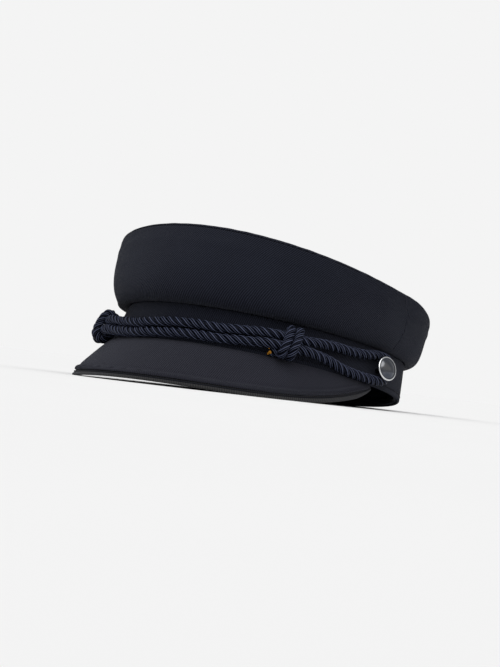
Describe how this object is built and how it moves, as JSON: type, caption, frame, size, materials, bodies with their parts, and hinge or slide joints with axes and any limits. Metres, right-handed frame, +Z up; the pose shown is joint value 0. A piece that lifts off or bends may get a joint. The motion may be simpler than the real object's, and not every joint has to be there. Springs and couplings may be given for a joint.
{
  "type": "sailor cap",
  "caption": "Soft cotton twill sailor cap with a puffed crown, a short curved peak, and a doubled cord with wrap knots held by metal side buttons.",
  "frame": {"origin": "centre of the bounding box at its bottom, which is the surface that the cap rests on", "axes": "+Z up, -Y towards the front with the peak, +X towards the wearer's left"},
  "size_m": [0.1894, 0.244, 0.096],
  "materials": {
    "cap_cloth": "very dark navy cotton twill, matt",
    "lining_cloth": "dark navy plain cotton, matt",
    "cord_yarn": "dark navy twisted cord with a silky sheen",
    "button_metal": "silver-coloured metal, smooth and bright at the rim"
  },
  "bodies": {
    "root": {"band": "cap_cloth", "sweatband": "lining_cloth", "crown_front_panel": "cap_cloth", "crown_back_panel": "cap_cloth", "crown_top": "cap_cloth", "crown_lining": "lining_cloth", "peak_upper": "cap_cloth", "peak_under": "cap_cloth", "peak_seam_tape": "cap_cloth", "cord_loop": "cord_yarn", "knot_left": "cord_yarn", "knot_right": "cord_yarn", "button_left": "button_metal", "button_right": "button_metal"}
  },
  "joints": []
}
